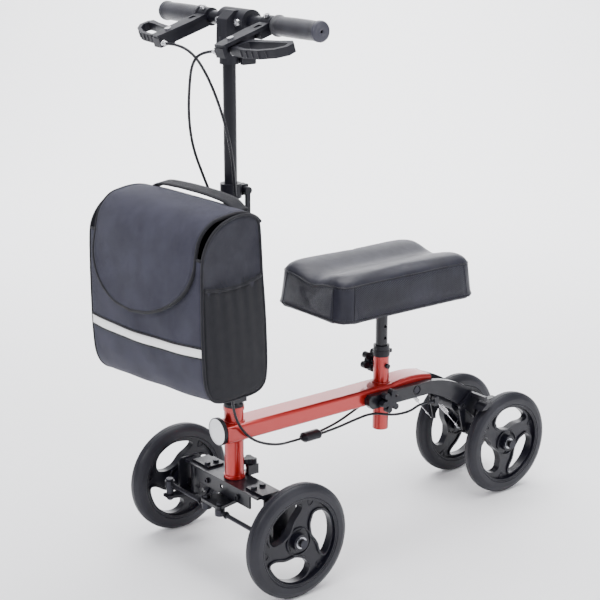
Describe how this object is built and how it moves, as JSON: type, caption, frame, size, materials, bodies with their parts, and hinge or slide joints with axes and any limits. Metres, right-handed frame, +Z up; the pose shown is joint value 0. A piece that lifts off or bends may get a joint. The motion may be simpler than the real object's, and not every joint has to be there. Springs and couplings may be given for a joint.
{
  "type": "knee scooter",
  "caption": "Steerable knee scooter: red beam frame with four wheels, padded knee rest on a height post, folding steering column with handlebar, loop brake levers and a front bag.",
  "frame": {"origin": "bottom centre of the bounding box, on the floor", "axes": "+Z up, -Y towards the front, +X towards the rider's left"},
  "size_m": [0.432, 0.8784, 0.966],
  "materials": {
    "red_paint": "gloss metallic",
    "black_paint": "satin powder coat",
    "cast_black": "textured",
    "black_plastic": "satin",
    "bright_steel": "zinc plated",
    "tyre_rubber": "smooth",
    "grip_rubber": "knurled",
    "pad_vinyl": "ribbed vinyl sides, smooth top",
    "bag_fabric": "woven nylon",
    "webbing": "ribbed webbing",
    "reflector": "prismatic",
    "cable_jacket": "smooth"
  },
  "bodies": {
    "frame": {"main_beam": "red_paint", "beam_plugs": "black_plastic", "front_reflector": "reflector", "head_tube": "red_paint", "head_bushes": "black_plastic", "seat_tube": "red_paint", "seat_collar": "black_plastic", "rear_arm_left": "black_paint", "rear_arm_right": "black_paint", "arm_bolts": "bright_steel", "rear_spacers": "black_paint", "rear_axle": "bright_steel", "brake_brackets": "black_paint", "front_axle_beam": "black_paint", "axle_bolts": "bright_steel", "stop_bracket": "black_paint", "lower_cable": "cable_jacket", "cable_joiner": "black_plastic", "rear_cables": "cable_jacket"},
    "steering": {"steering_stem": "black_paint", "fold_pin": "bright_steel"},
    "fold_lever": {"fold_lever": "black_plastic"},
    "column": {"column_tube": "black_paint", "column_collar": "black_plastic", "bag_shell": "bag_fabric", "bag_hanger": "webbing"},
    "collar_lever": {"collar_lever": "black_plastic"},
    "bag_flap": {"bag_flap": "bag_fabric"},
    "handlebar": {"inner_tube": "black_paint", "stem_head": "cast_black", "handlebar": "black_paint", "grips": "grip_rubber", "lever_housings": "black_plastic", "lever_fittings": "bright_steel", "upper_cable_left": "cable_jacket", "upper_cable_right": "cable_jacket"},
    "stem_knob": {"stem_knob": "black_plastic"},
    "brake_lever_left": {"brake_lever_left": "black_plastic"},
    "brake_lever_right": {"brake_lever_right": "black_plastic"},
    "tie_rod_left": {"tie_rod_left": "bright_steel"},
    "tie_rod_right": {"tie_rod_right": "bright_steel"},
    "knuckle_left": {"knuckle_left": "black_paint", "knuckle_bolts_left": "bright_steel"},
    "knuckle_right": {"knuckle_right": "black_paint", "knuckle_bolts_right": "bright_steel"},
    "front_wheel_left": {"front_wheel_left_tyre": "tyre_rubber", "front_wheel_left_core": "black_plastic"},
    "front_wheel_right": {"front_wheel_right_tyre": "tyre_rubber", "front_wheel_right_core": "black_plastic"},
    "rear_wheel_left": {"rear_wheel_left_tyre": "tyre_rubber", "rear_wheel_left_core": "black_plastic"},
    "rear_wheel_right": {"rear_wheel_right_tyre": "tyre_rubber", "rear_wheel_right_core": "black_plastic"},
    "brake_arm_left": {"brake_arm_left": "black_paint"},
    "brake_arm_right": {"brake_arm_right": "black_paint"},
    "seat": {"seat_post": "black_paint", "knee_pad": "pad_vinyl"},
    "seat_knob": {"seat_knob": "black_plastic"},
    "arm_clamp_knob": {"arm_clamp_knob": "black_plastic"},
    "lock_knob": {"lock_knob": "black_plastic"}
  },
  "joints": [
    {"name": "steer", "type": "hinge", "parent": "frame", "child": "steering", "pos_m": [0, -0.2588, 0.3], "axis": [0, 0, 1], "range_deg": [-30, 30], "deforming": ["lower_cable"]},
    {"name": "fold", "type": "hinge", "parent": "steering", "child": "column", "pos_m": [0, -0.2588, 0.322], "axis": [1, 0, 0], "range_deg": [-29, 0]},
    {"name": "fold_lever_turn", "type": "hinge", "parent": "steering", "child": "fold_lever", "pos_m": [0, -0.2588, 0.322], "axis": [1, 0, 0], "range_deg": [0, 50]},
    {"name": "bar_height", "type": "slide", "parent": "column", "child": "handlebar", "axis": [0, 0, 1], "range_m": [-0.08, 0.04], "deforming": ["upper_cable_left", "upper_cable_right"]},
    {"name": "collar_lever_turn", "type": "hinge", "parent": "column", "child": "collar_lever", "pos_m": [0, -0.2358, 0.668], "axis": [1, 0, 0], "range_deg": [0, 120]},
    {"name": "flap", "type": "hinge", "parent": "column", "child": "bag_flap", "pos_m": [0, -0.3058, 0.652], "axis": [1, 0, 0], "range_deg": [-60, 0]},
    {"name": "stem_knob_turn", "type": "hinge", "parent": "handlebar", "child": "stem_knob", "pos_m": [0, -0.2348, 0.8855], "axis": [1, 0, 0], "range_deg": [0, 90]},
    {"name": "brake_lever_left_pull", "type": "hinge", "parent": "handlebar", "child": "brake_lever_left", "pos_m": [0.088, -0.31488, 0.92128], "axis": [0, -0.309, 0.9511], "range_deg": [0, 14], "stiffness_Nm_per_rad": 1.5},
    {"name": "brake_lever_right_pull", "type": "hinge", "parent": "handlebar", "child": "brake_lever_right", "pos_m": [-0.088, -0.31488, 0.92128], "axis": [0, -0.309, 0.9511], "range_deg": [-14, 0], "stiffness_Nm_per_rad": 1.5},
    {"name": "tie_rod_left_swing", "type": "hinge", "parent": "steering", "child": "tie_rod_left", "pos_m": [0.02, -0.3048, 0.11], "axis": [0, 0, 1], "range_deg": [-30, 30]},
    {"name": "tie_rod_right_swing", "type": "hinge", "parent": "steering", "child": "tie_rod_right", "pos_m": [-0.02, -0.3048, 0.11], "axis": [0, 0, 1], "range_deg": [-30, 30]},
    {"name": "knuckle_left_turn", "type": "hinge", "parent": "frame", "child": "knuckle_left", "pos_m": [0.118, -0.2588, 0.101], "axis": [0, 0, 1], "range_deg": [-30, 30]},
    {"name": "knuckle_right_turn", "type": "hinge", "parent": "frame", "child": "knuckle_right", "pos_m": [-0.118, -0.2588, 0.101], "axis": [0, 0, 1], "range_deg": [-30, 30]},
    {"name": "front_wheel_left_spin", "type": "hinge", "parent": "knuckle_left", "child": "front_wheel_left", "pos_m": [0.1775, -0.2588, 0.101], "axis": [1, 0, 0], "continuous": true},
    {"name": "front_wheel_right_spin", "type": "hinge", "parent": "knuckle_right", "child": "front_wheel_right", "pos_m": [-0.1775, -0.2588, 0.101], "axis": [1, 0, 0], "continuous": true},
    {"name": "rear_wheel_left_spin", "type": "hinge", "parent": "frame", "child": "rear_wheel_left", "pos_m": [0.07, 0.3382, 0.101], "axis": [1, 0, 0], "continuous": true},
    {"name": "rear_wheel_right_spin", "type": "hinge", "parent": "frame", "child": "rear_wheel_right", "pos_m": [-0.07, 0.3382, 0.101], "axis": [1, 0, 0], "continuous": true},
    {"name": "brake_arm_left_rock", "type": "hinge", "parent": "frame", "child": "brake_arm_left", "pos_m": [0.0386, 0.2492, 0.186], "axis": [1, 0, 0], "range_deg": [-3, 0]},
    {"name": "brake_arm_right_rock", "type": "hinge", "parent": "frame", "child": "brake_arm_right", "pos_m": [-0.0386, 0.2492, 0.186], "axis": [1, 0, 0], "range_deg": [-3, 0]},
    {"name": "seat_height", "type": "slide", "parent": "frame", "child": "seat", "axis": [0, 0, 1], "range_m": [-0.025, 0.06]},
    {"name": "seat_knob_turn", "type": "hinge", "parent": "frame", "child": "seat_knob", "pos_m": [0, 0.0772, 0.296], "axis": [1, 0, 0], "range_deg": [0, 180]},
    {"name": "arm_clamp_knob_turn", "type": "hinge", "parent": "frame", "child": "arm_clamp_knob", "pos_m": [0.045, 0.0577, 0.2415], "axis": [1, 0, 0], "range_deg": [0, 180]},
    {"name": "lock_knob_turn", "type": "hinge", "parent": "frame", "child": "lock_knob", "pos_m": [0, -0.2268, 0.176], "axis": [0, 0, 1], "range_deg": [0, 180]}
  ],
  "couplings": [
    {"joint": "knuckle_left_turn", "follows": "steer", "ratio": 1},
    {"joint": "knuckle_right_turn", "follows": "steer", "ratio": 1},
    {"joint": "tie_rod_left_swing", "follows": "steer", "ratio": -1},
    {"joint": "tie_rod_right_swing", "follows": "steer", "ratio": -1},
    {"joint": "brake_arm_left_rock", "follows": "brake_lever_left_pull", "ratio": -0.21},
    {"joint": "brake_arm_right_rock", "follows": "brake_lever_right_pull", "ratio": 0.21}
  ]
}
